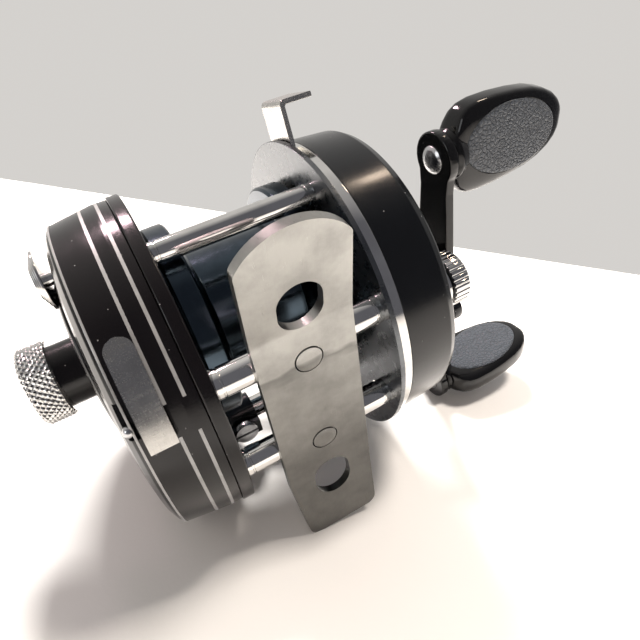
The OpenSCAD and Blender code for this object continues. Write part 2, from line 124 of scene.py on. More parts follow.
def add_card(name, azimuth, elevation, away, width, height, radiance, color):
    """A lamp that is only there to be reflected; its azimuth is counted from the X axis."""
    az, el = math.radians(azimuth), math.radians(elevation)
    where = Vector((math.cos(el) * math.cos(az), math.cos(el) * math.sin(az), math.sin(el))) * away
    power = radiance * math.pi * width * height
    card = add_light(name, where, REEL_MIDDLE, power, width, height, color, shine=True)
    card.visible_diffuse = False


def add_world():
    """A pale room: light above and behind the reel, darker on the viewer's side."""
    world = bpy.data.worlds.new("room")
    world.use_nodes = True
    scene.world = world
    nodes, links = world.node_tree.nodes, world.node_tree.links
    sky = nodes["Background"]
    coords = nodes.new("ShaderNodeTexCoord")
    split = nodes.new("ShaderNodeSeparateXYZ")
    links.new(coords.outputs["Generated"], split.inputs[0])
    reach = nodes.new("ShaderNodeMath")
    reach.operation = "MULTIPLY_ADD"
    reach.inputs[1].default_value = 0.5
    reach.inputs[2].default_value = 0.5
    links.new(split.outputs["Y"], reach.inputs[0])
    tint = nodes.new("ShaderNodeValToRGB")
    tint.color_ramp.elements[0].position = 0.32
    tint.color_ramp.elements[0].color = (0.13, 0.13, 0.145, 1)
    tint.color_ramp.elements[1].position = 0.72
    tint.color_ramp.elements[1].color = (0.66, 0.64, 0.615, 1)
    links.new(reach.outputs[0], tint.inputs["Fac"])
    links.new(tint.outputs["Color"], sky.inputs["Color"])
    sky.inputs["Strength"].default_value = 1.0


def add_floor():
    """The table: a big flat sheet towards the viewer from a far edge that runs behind the reel."""
    edge_a, edge_b = Vector((-0.058, 0.213, 0)), Vector((0.127, 0.016, 0))
    overrun, depth = 1.2, 1.6
    along = (edge_b - edge_a).normalized()
    nearer = Vector((along.y, -along.x, 0)) * depth
    start, end = edge_a - along * overrun, edge_b + along * overrun
    mesh = bpy.data.meshes.new("table_top")
    mesh.from_pydata([start, end, end + nearer, start + nearer], [], [(0, 1, 2, 3)])
    floor = bpy.data.objects.new("table_top", mesh)
    scene.collection.objects.link(floor)
    mesh.materials.append(cloth_white())


# ---- materials ----

def new_material(name, color, rough, metal=0.0, coat=0.0, sheen=0.0):
    material = bpy.data.materials.new(name)
    material.use_nodes = True
    shader = material.node_tree.nodes["Principled BSDF"]
    shader.inputs["Base Color"].default_value = (*color, 1)
    shader.inputs["Roughness"].default_value = rough
    shader.inputs["Metallic"].default_value = metal
    shader.inputs["Coat Weight"].default_value = coat
    shader.inputs["Coat Roughness"].default_value = 0.08
    shader.inputs["Sheen Weight"].default_value = sheen
    return material


def reel_coords(material, stretch=(1, 1, 1)):
    """The surface point in the reel's millimetres, squeezed along each axis by stretch."""
    nodes, links = material.node_tree.nodes, material.node_tree.links
    coords = nodes.new("ShaderNodeTexCoord")
    place = nodes.new("ShaderNodeMapping")
    place.vector_type = "TEXTURE"
    place.inputs["Location"].default_value = REEL.translation
    place.inputs["Rotation"].default_value = REEL.to_euler()
    place.inputs["Scale"].default_value = [MM * s for s in stretch]
    links.new(coords.outputs["Object"], place.inputs["Vector"])
    return place.outputs["Vector"]


def noise_value(material, vector, scale, detail=3.0, rough=0.5):
    nodes, links = material.node_tree.nodes, material.node_tree.links
    grain = nodes.new("ShaderNodeTexNoise")
    grain.inputs["Scale"].default_value = scale
    grain.inputs["Detail"].default_value = detail
    grain.inputs["Roughness"].default_value = rough
    links.new(vector, grain.inputs["Vector"])
    return grain.outputs["Fac"]


def cell_value(material, vector, scale, feature="F1"):
    nodes, links = material.node_tree.nodes, material.node_tree.links
    cells = nodes.new("ShaderNodeTexVoronoi")
    cells.feature = feature
    cells.inputs["Scale"].default_value = scale
    links.new(vector, cells.inputs["Vector"])
    return cells.outputs["Distance"]


def graded(material, value, stops):
    """A colour ramp over value; stops are (position, colour or grey)."""
    nodes, links = material.node_tree.nodes, material.node_tree.links
    ramp = nodes.new("ShaderNodeValToRGB")
    table = ramp.color_ramp.elements
    while len(table) < len(stops):
        table.new(0.5)
    for element, (position, shade) in zip(table, stops):
        element.position = position
        element.color = (*shade, 1) if isinstance(shade, tuple) else (shade, shade, shade, 1)
    links.new(value, ramp.inputs["Fac"])
    return ramp.outputs["Color"]


def levels(value, *stops):
    """Stops of (position, share of value) as stops that graded takes."""
    return [(position, value * share) for position, share in stops]


def combine(material, operation, a, b):
    """A math node over two sockets or numbers."""
    nodes, links = material.node_tree.nodes, material.node_tree.links
    math_node = nodes.new("ShaderNodeMath")
    math_node.operation = operation
    for socket, source in zip(math_node.inputs, (a, b)):
        if isinstance(source, (int, float)):
            socket.default_value = source
        else:
            links.new(source, socket)
    return math_node.outputs[0]


def feed(material, socket, source):
    shader = material.node_tree.nodes["Principled BSDF"]
    material.node_tree.links.new(source, shader.inputs[socket])


def add_bump(material, height, distance_mm, strength=1.0):
    nodes, links = material.node_tree.nodes, material.node_tree.links
    bump = nodes.new("ShaderNodeBump")
    bump.inputs["Strength"].default_value = strength
    bump.inputs["Distance"].default_value = distance_mm * MM
    links.new(height, bump.inputs["Height"])
    feed(material, "Normal", bump.outputs["Normal"])


def cloth_white():
    """The pale table top: matt, with a faint fine texture."""
    material = new_material("table_white", (0.86, 0.86, 0.85), 0.55)
    vector = reel_coords(material)
    tone = noise_value(material, vector, 0.02, 2)
    shades = [(0.3, (0.84, 0.83, 0.82)), (0.7, (0.88, 0.88, 0.875))]
    feed(material, "Base Color", graded(material, tone, shades))
    add_bump(material, noise_value(material, vector, 1.6, 4), 0.05, 0.4)
    return material


def lacquer(name, color, rough, peel, specks=True):
    """Black lacquer: an orange-peel skin with dust and faint rub marks."""
    material = new_material(name, color, rough, 0.0, 0.12)
    material.node_tree.nodes["Principled BSDF"].inputs["Specular IOR Level"].default_value = 0.32
    vector = reel_coords(material)
    rub = noise_value(material, reel_coords(material, (1, 6, 6)), 0.5, 5, 0.65)
    feed(material, "Roughness", graded(material, rub, levels(rough, (0.3, 0.8), (0.62, 1.15), (0.8, 1.7))))
    if specks:
        dust = cell_value(material, vector, 0.55)
        bright = tuple(c + 0.22 for c in color)
        feed(material, "Base Color", graded(material, dust, [(0.0, bright), (0.035, bright), (0.055, color)]))
    add_bump(material, noise_value(material, vector, 2.6, 3), peel, 0.5)
    return material


def plated(name, color, rough):
    """Bright plating, with faint wear and fine polishing lines."""
    material = new_material(name, color, rough, 1.0)
    vector = reel_coords(material)
    wear = noise_value(material, vector, 0.45, 5, 0.6)
    feed(material, "Roughness", graded(material, wear, levels(rough, (0.35, 0.7), (0.6, 1), (0.8, 2.4))))
    tone = noise_value(material, vector, 0.2, 3)
    darker = tuple(c * 0.86 for c in color)
    feed(material, "Base Color", graded(material, tone, [(0.35, darker), (0.65, color)]))
    lines = noise_value(material, reel_coords(material, (0.15, 8, 8)), 2.0, 2)
    add_bump(material, lines, 0.004, 0.4)
    return material


def worn_sheet(name, color, rough):
    """Dull stamped steel: blotchy, with crossing scratches."""
    material = new_material(name, color, rough, 1.0)
    vector = reel_coords(material)
    blotch = noise_value(material, vector, 0.16, 6, 0.62)
    dull = tuple(c * 0.78 for c in color)
    warm = (color[0] * 1.04, color[1] * 1.01, color[2] * 0.94)
    feed(material, "Base Color", graded(material, blotch, [(0.36, dull), (0.52, color), (0.66, warm)]))
    fine = noise_value(material, reel_coords(material, (0.35, 9, 1)), 1.6, 6, 0.7)
    long = noise_value(material, reel_coords(material, (6, 0.3, 1)), 1.1, 6, 0.7)
    marks = combine(material, "MULTIPLY", fine, long)
    grain = combine(material, "ADD", marks, combine(material, "MULTIPLY", blotch, 0.25))
    feed(material, "Roughness", graded(material, grain, levels(rough, (0.2, 0.75), (0.42, 1), (0.62, 1.5))))
    add_bump(material, marks, 0.02, 0.35)
    return material


def foot_sheet_painted_shade(name, color, rough):
    """The foot's dull steel with a wandering stain line; its darkening past that line towards the front end
    is painted shade, standing in for the shadow and reflections that darken the foot's front end.
    """
    material = new_material(name, color, rough, 1.0)
    nodes, links = material.node_tree.nodes, material.node_tree.links
    vector = reel_coords(material)
    split = nodes.new("ShaderNodeSeparateXYZ")
    links.new(vector, split.inputs[0])
    wander = noise_value(material, reel_coords(material, (3, 1, 1)), 0.22, 2, 0.5)
    place = combine(material, "ADD", split.outputs["Y"], combine(material, "MULTIPLY", wander, 9.0))
    along = combine(material, "MULTIPLY_ADD", place, 1 / 60)
    along.node.inputs[2].default_value = 0.5
    # middle and front are painted shade: the steel darkened towards the front end in place of shadow and
    # reflections; stain is the real stain line
    front, middle, stain = (tuple(c * share for c in color) for share in (0.42, 0.8, 0.55))
    stops = [(0.0, color), (0.415, color), (0.425, stain), (0.44, middle), (0.58, middle), (0.76, front),
             (1.0, front)]
    shade = graded(material, along, stops)
    blotch = noise_value(material, vector, 0.16, 6, 0.62)
    mottle = nodes.new("ShaderNodeMixRGB")
    mottle.blend_type = "MULTIPLY"
    mottle.inputs["Fac"].default_value = 1.0
    links.new(shade, mottle.inputs["Color1"])
    links.new(graded(material, blotch, [(0.35, 0.74), (0.62, 1.0)]), mottle.inputs["Color2"])
    feed(material, "Base Color", mottle.outputs["Color"])
    fine = noise_value(material, reel_coords(material, (0.35, 9, 1)), 1.6, 6, 0.7)
    feed(material, "Roughness", graded(material, fine, levels(rough, (0.25, 0.75), (0.5, 1), (0.75, 1.4))))
    add_bump(material, combine(material, "ADD", fine, blotch), 0.012, 0.35)
    return material


def leather_grain(name, color):
    """Moulded leather grain: rounded cells with dark creases."""
    material = new_material(name, color, 0.42, 0.0, 0.0, 0.1)
    vector = reel_coords(material)
    creases = cell_value(material, vector, 1.35, "DISTANCE_TO_EDGE")
    fine = noise_value(material, vector, 4.0, 3)
    height = combine(material, "ADD", graded(material, creases, [(0.0, 0.0), (0.22, 1.0)]),
                     combine(material, "MULTIPLY", fine, 0.35))
    dark = tuple(c * 0.45 for c in color)
    feed(material, "Base Color", graded(material, creases, [(0.0, dark), (0.14, color)]))
    feed(material, "Roughness", graded(material, fine, [(0.3, 0.34), (0.7, 0.55)]))
    add_bump(material, height, 0.12, 0.9)
    return material


def plain_part(name, color, rough, metal=0.0):
    """A working part: its colour with a little variation and a fine surface."""
    material = new_material(name, color, rough, metal)
    vector = reel_coords(material)
    tone = noise_value(material, vector, 0.5, 4)
    darker = tuple(c * 0.8 for c in color)
    feed(material, "Base Color", graded(material, tone, [(0.35, darker), (0.65, color)]))
    feed(material, "Roughness", graded(material, tone, [(0.3, rough * 0.85), (0.7, rough * 1.2)]))
    add_bump(material, noise_value(material, vector, 5.0, 3), 0.01, 0.5)
    return material


def make_materials():
    return {
        "black_gloss": lacquer("drum_lacquer", (0.004, 0.003, 0.0035), 0.19, 0.022),
        "black_satin": lacquer("satin_black", (0.005, 0.006, 0.008), 0.15, 0.01),
        "black_plastic": lacquer("paddle_black", (0.004, 0.004, 0.0045), 0.09, 0.006, specks=False),
        "pad_leather": leather_grain("pad_grain", (0.06, 0.07, 0.085)),
        "chrome": plated("chrome", (0.80, 0.79, 0.77), 0.09),
        "worn_steel": worn_sheet("foot_steel", (0.60, 0.585, 0.555), 0.27),
        # the foot's steel, with painted shade darkening it towards the front end
        "foot_steel": foot_sheet_painted_shade("foot_sheet_painted_shade", (0.40, 0.395, 0.375), 0.33),
        "brass": plain_part("brass", (0.72, 0.52, 0.24), 0.28, 1.0),
        "steel": plain_part("steel", (0.58, 0.58, 0.59), 0.24, 1.0),
        "nylon": plain_part("nylon", (0.78, 0.76, 0.68), 0.45),
        "fibre": plain_part("fibre", (0.22, 0.14, 0.09), 0.7),
        "brake_red": plain_part("brake_red", (0.42, 0.07, 0.05), 0.5),
        "silver_line": plain_part("silver_line", (0.42, 0.42, 0.42), 0.4, 0.4),
        "right_lacquer": lacquer("right_lacquer", (0.003, 0.0035, 0.0045), 0.2, 0.008),
        "dark_plate": plain_part("dark_plate", (0.17, 0.18, 0.19), 0.28, 1.0),
        "spool_black": plain_part("spool_black", (0.055, 0.075, 0.095), 0.16, 1.0),
    }


MATERIALS = make_materials()


# ---- mesh helpers: every shape is drawn in the reel's millimetres ----

def rounded(points, radius, steps=4):
    """The outline with each corner turned into an arc no larger than its edges allow."""
    count = len(points)
    out = []
    for i, point in enumerate(points):
        here = Vector(point)
        before = Vector(points[i - 1]) - here
        after = Vector(points[(i + 1) % count]) - here
        turn = before.angle(after)
        size = radius[i] if isinstance(radius, (list, tuple)) else radius
        if turn > math.radians(176) or size <= 0:
            out.append(tuple(here))
            continue
        trim = min(size / math.tan(turn / 2), before.length * 0.48, after.length * 0.48)
        a, b = here + before.normalized() * trim, here + after.normalized() * trim
        for step in range(steps + 1):
            t = step / steps
            out.append(tuple(a * (1 - t) ** 2 + here * 2 * t * (1 - t) + b * t ** 2))
    return out


def lathe(profile, ax=(0, 0), steps=160, start=0.0, sweep=360.0):
    """A turned solid from a closed profile of (radius, x) about the axis ax."""
    bm = bmesh.new()
    full = sweep >= 360
    rings = steps if full else steps + 1
    grid = []
    for i in range(rings):
        a = math.radians(start + sweep * i / steps)
        grid.append([bm.verts.new((x, ax[0] + r * math.cos(a), ax[1] + r * math.sin(a))) for r, x in profile])
    count = len(profile)
    for i in range(steps):
        near, far = grid[i], grid[(i + 1) % rings]
        for k in range(count):
            n = (k + 1) % count
            if profile[k][0] < 1e-6 and profile[n][0] < 1e-6:
                continue
            bm.faces.new((near[k], near[n], far[n], far[k]))
    if not full:
        bm.faces.new(grid[0])
        bm.faces.new(list(reversed(grid[-1])))
    bmesh.ops.remove_doubles(bm, verts=bm.verts, dist=1e-5)
    bmesh.ops.dissolve_degenerate(bm, edges=bm.edges, dist=1e-6)
    bmesh.ops.recalc_face_normals(bm, faces=bm.faces)
    return bm


def slab(outline, low, high, along="X"):
    """A flat solid. Along X its outline is (y, z); along Z its outline is (x, y)."""
    bm = bmesh.new()
    if along == "X":
        ends = [[bm.verts.new((h, p[0], p[1])) for p in outline] for h in (low, high)]
    else:
        ends = [[bm.verts.new((p[0], p[1], h)) for p in outline] for h in (low, high)]
    bm.faces.new(ends[0])
    bm.faces.new(ends[1])
    for i in range(len(outline)):
        n = (i + 1) % len(outline)
        bm.faces.new((ends[0][i], ends[0][n], ends[1][n], ends[1][i]))
    bmesh.ops.recalc_face_normals(bm, faces=bm.faces)
    return bm


def rod(a, b, radius, steps=32):
    """A straight round bar between two points."""
    bm = bmesh.new()
    a, b = Vector(a), Vector(b)
    turn = (b - a).to_track_quat("Z", "Y").to_matrix().to_4x4()
    place = Matrix.Translation((a + b) / 2) @ turn
    bmesh.ops.create_cone(bm, cap_ends=True, segments=steps, radius1=radius, radius2=radius,
                          depth=(b - a).length, matrix=place)
    return bm


def bevel(bm, width, segments=3, min_angle=30):
    """Rounds every edge sharper than min_angle."""
    limit = math.radians(min_angle)
    edges = [e for e in bm.edges if len(e.link_faces) == 2 and e.calc_face_angle(0) > limit]
    bmesh.ops.bevel(bm, geom=edges, offset=width, segments=segments, affect="EDGES", profile=0.5,
                    clamp_overlap=True)
    return bm


def cut(bm, tool):
    """The first mesh less the second; both are used up."""
    objects = []
    for part in (bm, tool):
        mesh = bpy.data.meshes.new("scratch")
        part.to_mesh(mesh)
        part.free()
        obj = bpy.data.objects.new("scratch", mesh)
        scene.collection.objects.link(obj)
        objects.append(obj)
    body, cutter = objects
    step = body.modifiers.new("cut", "BOOLEAN")
    step.operation = "DIFFERENCE"
    step.solver = "EXACT"
    step.object = cutter
    bpy.context.view_layer.update()
    result = bmesh.new()
    result.from_object(body, bpy.context.evaluated_depsgraph_get())
    for obj in objects:
        mesh = obj.data
        bpy.data.objects.remove(obj)
        bpy.data.meshes.remove(mesh)
    bmesh.ops.remove_doubles(result, verts=result.verts, dist=1e-4)
    bmesh.ops.dissolve_limit(result, angle_limit=math.radians(0.1), verts=result.verts, edges=result.edges)
    return result


def join(*parts):
    """One mesh of several separate shells."""
    whole = bmesh.new()
    for part in parts:
        mesh = bpy.data.meshes.new("scratch")
        part.to_mesh(mesh)
        part.free()
        whole.from_mesh(mesh)
        bpy.data.meshes.remove(mesh)
    return whole


def piece(name, bm, body, material, stands_for=(), sharp=35):
    """Puts a mesh into the scene: placed, shaded, riding on its body.
    """
    bmesh.ops.transform(bm, matrix=REEL, verts=bm.verts)
    bmesh.ops.recalc_face_normals(bm, faces=bm.faces)
    mesh = bpy.data.meshes.new(name)
    bm.to_mesh(mesh)
    bm.free()
    mesh.polygons.foreach_set("use_smooth", [True] * len(mesh.polygons))
    mesh.set_sharp_from_angle(angle=math.radians(sharp))
    obj = bpy.data.objects.new(name, mesh)
    scene.collection.objects.link(obj)
    mesh.materials.append(MATERIALS[material])
    even = obj.modifiers.new("even_normals", "WEIGHTED_NORMAL")
    even.keep_sharp = True
    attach(obj, body)
    if stands_for:
        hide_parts(*stands_for)


# ---- left side ----

def clicker_slot(low, high):
    """The cutter for the slot that the clicker's stem slides in."""
    half, radius, around = CLICKER_TRAVEL / 2, 1.3, 40
    middle = CLICKER_REACH - half
    outline = []
    for i in range(around):
        a = 2 * math.pi * (i + 0.5) / around
        end = math.copysign(half, math.cos(a))
        outline.append((middle + end + radius * math.cos(a), radius * math.sin(a)))
    cutter = slab(outline, low, high)
    place = Matrix.Translation((0, *axis_of("spool_spin"))) @ Matrix.Rotation(CLICKER_ANGLE, 4, "X")
    bmesh.ops.transform(cutter, matrix=place, verts=cutter.verts)
    return cutter


def left_drum():
    """The left cover: a tapered lacquered cup with a raised boss and a thick neck for the cap."""
    spool = axis_of("spool_spin")
    taper_start, taper_end = -16.5, -22.8
    outer = [(COVER_BORE, LEFT_PLATE_X), (LEFT_RIM, LEFT_PLATE_X), (LEFT_RIM, taper_start),
             (LEFT_EDGE, taper_end), (24.3, -23.5), (22.9, -24.2), (20.6, -24.7), (0, -24.7), (0, -22.4),
             (COVER_BORE, -22.4)]
    rounds = [0.1, 0.25, 1.0, 0.35, 0.6, 1.5, 1.5, 0, 0, 0.3]
    shell = lathe(rounded(outer, rounds, 5), steps=180)
    notch_turn = Matrix.Rotation(math.radians(-117.5 - 90), 3, "X")
    notch = slab([(-2.5, COVER_BORE), (2.5, COVER_BORE), (2.5, 28), (-2.5, 28)], -25, -21.9)
    bmesh.ops.rotate(notch, cent=(0, 0, 0), matrix=notch_turn, verts=notch.verts)
    shell = cut(cut(shell, notch), clicker_slot(-25.5, -21))
    boss_shape = [(5.0, -24), (13.6, -24), (13.6, -25.7), (12.6, -26.1), (5.0, -26.3)]
    boss = cut(lathe(rounded(boss_shape, [0, 0, 0.5, 1.0, 0], 5), spool, 128), clicker_slot(-28, -23))
    neck_shape = [(1.8, -25), (5.4, -25), (5.0, -26.9), (5.0, -33.6), (1.8, -33.6)]
    neck = lathe(rounded(neck_shape, [0, 0, 0.8, 0.2, 0.1], 5), spool, 96)
    piece("left_drum", join(shell, boss, neck), "frame", "black_gloss", ["left_cover"])
    # two inlaid lines, broken where the latch closes
    lines = []
    slope = (LEFT_RIM - LEFT_EDGE) / (taper_start - taper_end)
    for x in (-18.36, -15.91):
        r = LEFT_RIM + min(0.0, x - taper_start) * slope
        line = [(r - 0.2, x - 0.22), (r + 0.02, x - 0.22), (r + 0.03, x + 0.22), (r - 0.2, x + 0.22)]
        lines.append(lathe(line, steps=180, start=-107.5, sweep=349.5))
    piece("drum_lines", join(*lines), "frame", "silver_line")
    ridge = [(LEFT_EDGE - 0.2, -22.95), (LEFT_EDGE + 0.03, -22.8), (LEFT_EDGE + 0.01, -22.98),
             (LEFT_EDGE - 0.06, -23.1)]
    piece("drum_edge_line", lathe(ridge, steps=180), "frame", "silver_line")


def left_plate():
    """The left frame plate: an open ring, a little wider than the cover's rim."""
    outline = [(19.4, LEFT_PLATE_X), (26, LEFT_PLATE_X), (26, -GAP_HALF), (19.4, -GAP_HALF)]
    ring = lathe(rounded(outline, [0.2, 0.3, 0.3, 0.2], 4), steps=180)
    piece("left_plate_ring", ring, "frame", "black_gloss", ["frame_left_plate"])


def left_knob():
    """The knurled cap: crossing grooves pressed into a chamfered drum."""
    bm = bmesh.new()
    cy, cz = axis_of("left_cap_turn")
    radius, x0, x1, around, rows = 6.25, -35.2, -30.8, 320, 40
    teeth, depth, pitch, chamfer = 40, 0.34, 1.05, 0.45
    grid = []
    for j in range(rows + 1):
        x = x0 + (x1 - x0) * j / rows
        edge = chamfer - min(x - x0, x1 - x, chamfer)
        ring = []
        for i in range(around):
            a = 2 * math.pi * i / around
            u = (a / (2 * math.pi) * teeth + (x - x0) / pitch) % 1
            v = (a / (2 * math.pi) * teeth - (x - x0) / pitch) % 1
            hill = (1 - abs(2 * u - 1)) * (1 - abs(2 * v - 1))
            r = radius - edge * 0.9 - depth * (1 - math.sqrt(hill)) * (1 if edge < 0.2 else 0.35)
            ring.append(bm.verts.new((x, cy + r * math.cos(a), cz + r * math.sin(a))))
        grid.append(ring)
    for j in range(rows):
        for i in range(around):
            n = (i + 1) % around
            bm.faces.new((grid[j][i], grid[j][n], grid[j + 1][n], grid[j + 1][i]))
    bm.faces.new(grid[0])
    bm.faces.new(list(reversed(grid[-1])))
    piece("knurled_cap", bm, "left_cap", "chrome", ["left_cap"], sharp=20)


def clicker():
    """The clicker's button: a wide base with ridged steps up to a small flat top."""
    y, z = axis_of("spool_spin")
    centre = (y + CLICKER_REACH * math.cos(CLICKER_ANGLE), z + CLICKER_REACH * math.sin(CLICKER_ANGLE))
    steps, corner = [(0, -27.4), (2.6, -27.4)], [0, 0.08]
    for k in range(3):
        r, x = 2.6 + 0.6 * k, -27.1 + 0.3 * k
        steps += [(r, x), (r + 0.6, x)]
        corner += [0.05, 0.08]
    steps += [(4.4, -26.1), (1.0, -26.1), (1.0, -22), (0, -22)]
    corner += [0.12, 0, 0, 0]
    button = lathe(rounded(steps, corner, 3), centre, 72)
    piece("ridged_button", button, "clicker", "chrome", ["click_button"])


def latch():
    """A sheet-metal latch that follows the rim, round at one end."""
    inner, outer, start, sweep = 26.0, 26.8, -139.0, 31.0
    x0, x1, steps = -22.1, -18.6, 40
    half, mid = (x1 - x0) / 2, (x0 + x1) / 2
    bm = bmesh.new()
    rings = []
    for i in range(steps + 1):
        a = math.radians(start + sweep * i / steps)
        along = math.radians(sweep * i / steps) * outer
        width = half * math.sqrt(max(0.0, 1 - (1 - along / half) ** 2)) if along < half else half
        width = max(width, 0.25)
        ring = []
        for r, side in ((inner, -1), (outer, -1), (outer, 1), (inner, 1)):
            ring.append(bm.verts.new((mid + side * width, r * math.cos(a), r * math.sin(a))))
        rings.append(ring)
    for i in range(steps):
        for k in range(4):
            n = (k + 1) % 4
            bm.faces.new((rings[i][k], rings[i][n], rings[i + 1][n], rings[i + 1][k]))
    bm.faces.new(rings[0])
    bm.faces.new(list(reversed(rings[-1])))
    bevel(bm, 0.12, 2, 45)
    piece("latch_blade", bm, "latch", "worn_steel", ["latch_lever"])


# ---- right side ----

def right_drum():
    """The right cover, with the bush that the crank's shaft turns in, and the bright ring beside it."""
    crank = axis_of("crank_spin")
    outer = [(COVER_BORE, 14.9), (25.3, 14.9), (24.75, 22.5), (24.1, 23.7), (22.6, 24.6), (20, 25), (0, 25),
             (0, 22.5), (COVER_BORE, 22.5)]
    rounds = [0.1, 0.15, 0.7, 1.0, 1.0, 1.2, 0, 0, 0.2]
    shell = lathe(rounded(outer, rounds, 5), steps=180)
    shell = cut(shell, rod((20, *crank), (30, *crank), 4, 64))
    boss = lathe(rounded([(4, 24), (5.6, 24), (5.6, 27), (4, 27)], 0.2), crank, 96)
    piece("right_drum", join(shell, boss), "frame", "right_lacquer", ["right_cover"])
    ring = [(COVER_BORE, 13.25), (25.35, 13.25), (25.35, 14.88), (COVER_BORE, 14.88)]
    piece("bright_ring", lathe(rounded(ring, 0.12), steps=180), "frame", "chrome", ["side_ring"])


def thumb_lever():
    """The release lever: a ring behind the bright one, and a bent tab for the thumb."""
    path = [(13.5, 18.5), (13.5, 31.7), (18.9, 31.7), (18.9, 30.9), (14.3, 30.9), (14.3, 18.5)]
    outline = rounded(path, [0, 1.0, 0.2, 0.2, 0.4, 0], 5)
    tab = slab(outline, -LEVER_HALF, LEVER_HALF, "Z")
    bevel(tab, 0.1, 2, 50)
    bmesh.ops.rotate(tab, cent=(0, 0, 0), matrix=Matrix.Rotation(LEVER_ANGLE, 3, "X"), verts=tab.verts)
    ring = lathe(rounded([(17.45, 13.5), (19.7, 13.5), (19.7, 14.3), (17.45, 14.3)], 0.1, 2), steps=120)
    piece("thumb_tab", join(tab, ring), "release", "worn_steel", ["release_lever"])


# ---- crank ----

def crank_arm():
    """The arm: a plate with a round eye at each end, waisted beside them and wider at the hub."""
    cy, cz = axis_of("crank_spin")
    reach = (axis_of("lower_paddle_spin")[0] - axis_of("upper_paddle_spin")[0]) / 2
    eye, waist, hub = 4.45, 3.4, 4.1
    quarter = []
    for i in range(13):
        a = math.radians(125 * i / 12)
        quarter.append((reach + eye * math.cos(a), eye * math.sin(a)))
    quarter += [(reach - 5.2, waist), (9, hub), (0, 5.2)]
    half = quarter + [(-y, z) for y, z in reversed(quarter[:-1])]
    outline = half + [(y, -z) for y, z in reversed(half[1:-1])]
    points = [(cy + y, cz + z) for y, z in outline]
    plate = slab(rounded(points, 1.2, 3), 34, 35.8)
    plate = cut(plate, rod((30, cy, cz), (40, cy, cz), 2, 48))
    for s in (-1, 1):
        plate = cut(plate, rod((30, cy + s * reach, cz), (40, cy + s * reach, cz), 1.7, 48))
    bevel(plate, 0.35, 3, 50)
    piece("arm_plate", plate, "crank", "black_plastic", ["crank_arm"], sharp=50)
    rivets = []
    for s in (-1, 1):
        dome = [(0, 33.05), (1.1, 33.15), (1.9, 33.45), (2.3, 33.85), (2.3, 34), (1.7, 34), (1.7, 49),
                (0, 49)]
        dome = rounded(dome, [0, 1, 1, 0.1, 0.05, 0, 0, 0], 4)
        rivets.append(lathe(dome, (cy + s * reach, cz), 48))
    piece("pivot_rivet_posts", join(*rivets), "crank", "steel", ["pivot_rivets"])
    corners = [math.radians(60 * i) for i in range(6)]
    nut = slab([(4 * math.cos(a) + cy, 4 * math.sin(a) + cz) for a in corners], 35.85, 38.3)
    nut = cut(nut, rod((30, cy, cz), (50, cy, cz), 2, 40))
    bevel(nut, 0.25, 3, 40)
    washer = lathe(rounded([(2, 35.8), (4.5, 35.8), (4.5, 36.15), (2, 36.15)], 0.1), (cy, cz), 64)
    piece("hub_nut", join(nut, washer), "crank", "chrome", ["handle_nut"])


# The grip pads' oval, in a paddle's own (x, width) plane
PAD_CENTRE, PAD_LONG, PAD_WIDE, PAD_TURN = (47.9, -0.3), 9.4, 5.9, math.radians(8)


def pad_outline(grow=0.0, count=64):
    """The inset pad's oval, as (x, w) points."""
    points = []
    for i in range(count):
        a = 2 * math.pi * i / count
        u, w = (PAD_LONG + grow) * math.cos(a), (PAD_WIDE + grow) * math.sin(a)
        points.append((PAD_CENTRE[0] + u * math.cos(PAD_TURN) - w * math.sin(PAD_TURN),
                       PAD_CENTRE[1] + u * math.sin(PAD_TURN) + w * math.cos(PAD_TURN)))
    return points


def paddle_body():
    """One grip about the X axis: a collar, a neck that swells into a flat rounded paddle."""
    stations = [(36.5, 2.6, 2.4), (36.9, 3.9, 2.6), (37.5, 5.3, 2.75), (38.3, 6.5, 2.8), (39.5, 7.3, 2.8),
                (41.5, 7.7, 2.8), (45, 7.7, 2.8), (49, 7.35, 2.8), (52.5, 6.8, 2.8), (55, 6.0, 2.75),
                (57, 4.95, 2.6), (58.3, 3.8, 2.4), (59.1, 2.7, 2.1), (59.6, 1.5, 1.5), (59.8, 0.5, 0.7)]
    around, power = 56, 0.52
    bm = bmesh.new()
    rings = []
    for x, wide, thick in stations:
        ring = []
        for i in range(around):
            a = 2 * math.pi * i / around
            c, n = math.cos(a), math.sin(a)
            ring.append(bm.verts.new((x, wide * math.copysign(abs(c) ** power, c),
                                      thick * math.copysign(abs(n) ** power, n))))
        rings.append(ring)
    for near, far in zip(rings, rings[1:]):
        for i in range(around):
            n = (i + 1) % around
            bm.faces.new((near[i], near[n], far[n], far[i]))
    bm.faces.new(rings[0])
    bm.faces.new(list(reversed(rings[-1])))
    bmesh.ops.recalc_face_normals(bm, faces=bm.faces)
    for low, high in ((2.25, 5), (-5, -2.25)):
        bm = cut(bm, slab(pad_outline(0.12), low, high, "Z"))
    bm = cut(bm, rod((30, 0, 0), (49.3, 0, 0), 1.75, 32))
    collar = [(1.75, 36.1), (3.7, 36.1), (4.2, 36.9), (3.5, 38.6), (1.75, 38.8)]
    return join(bm, lathe(rounded(collar, 0.4, 4), steps=56))


def pad_pair():
    """The two pads: shallow domes with a rolled edge, sunk in the grip's faces."""
    pads = []
    for side in (-1, 1):
        bm = bmesh.new()
        stations = [(0.0, 2.2), (0.0, 2.62), (-0.25, 2.78), (-0.7, 2.86), (-2.2, 2.93), (-4.2, 2.98)]
        rings = [[bm.verts.new((x, w, side * z)) for x, w in pad_outline(grow)] for grow, z in stations]
        for near, far in zip(rings, rings[1:]):
            for i in range(len(near)):
                n = (i + 1) % len(near)
                bm.faces.new((near[i], near[n], far[n], far[i]))
        bm.faces.new(rings[0])
        bm.faces.new(list(reversed(rings[-1])))
        pads.append(bm)
    return join(*pads)


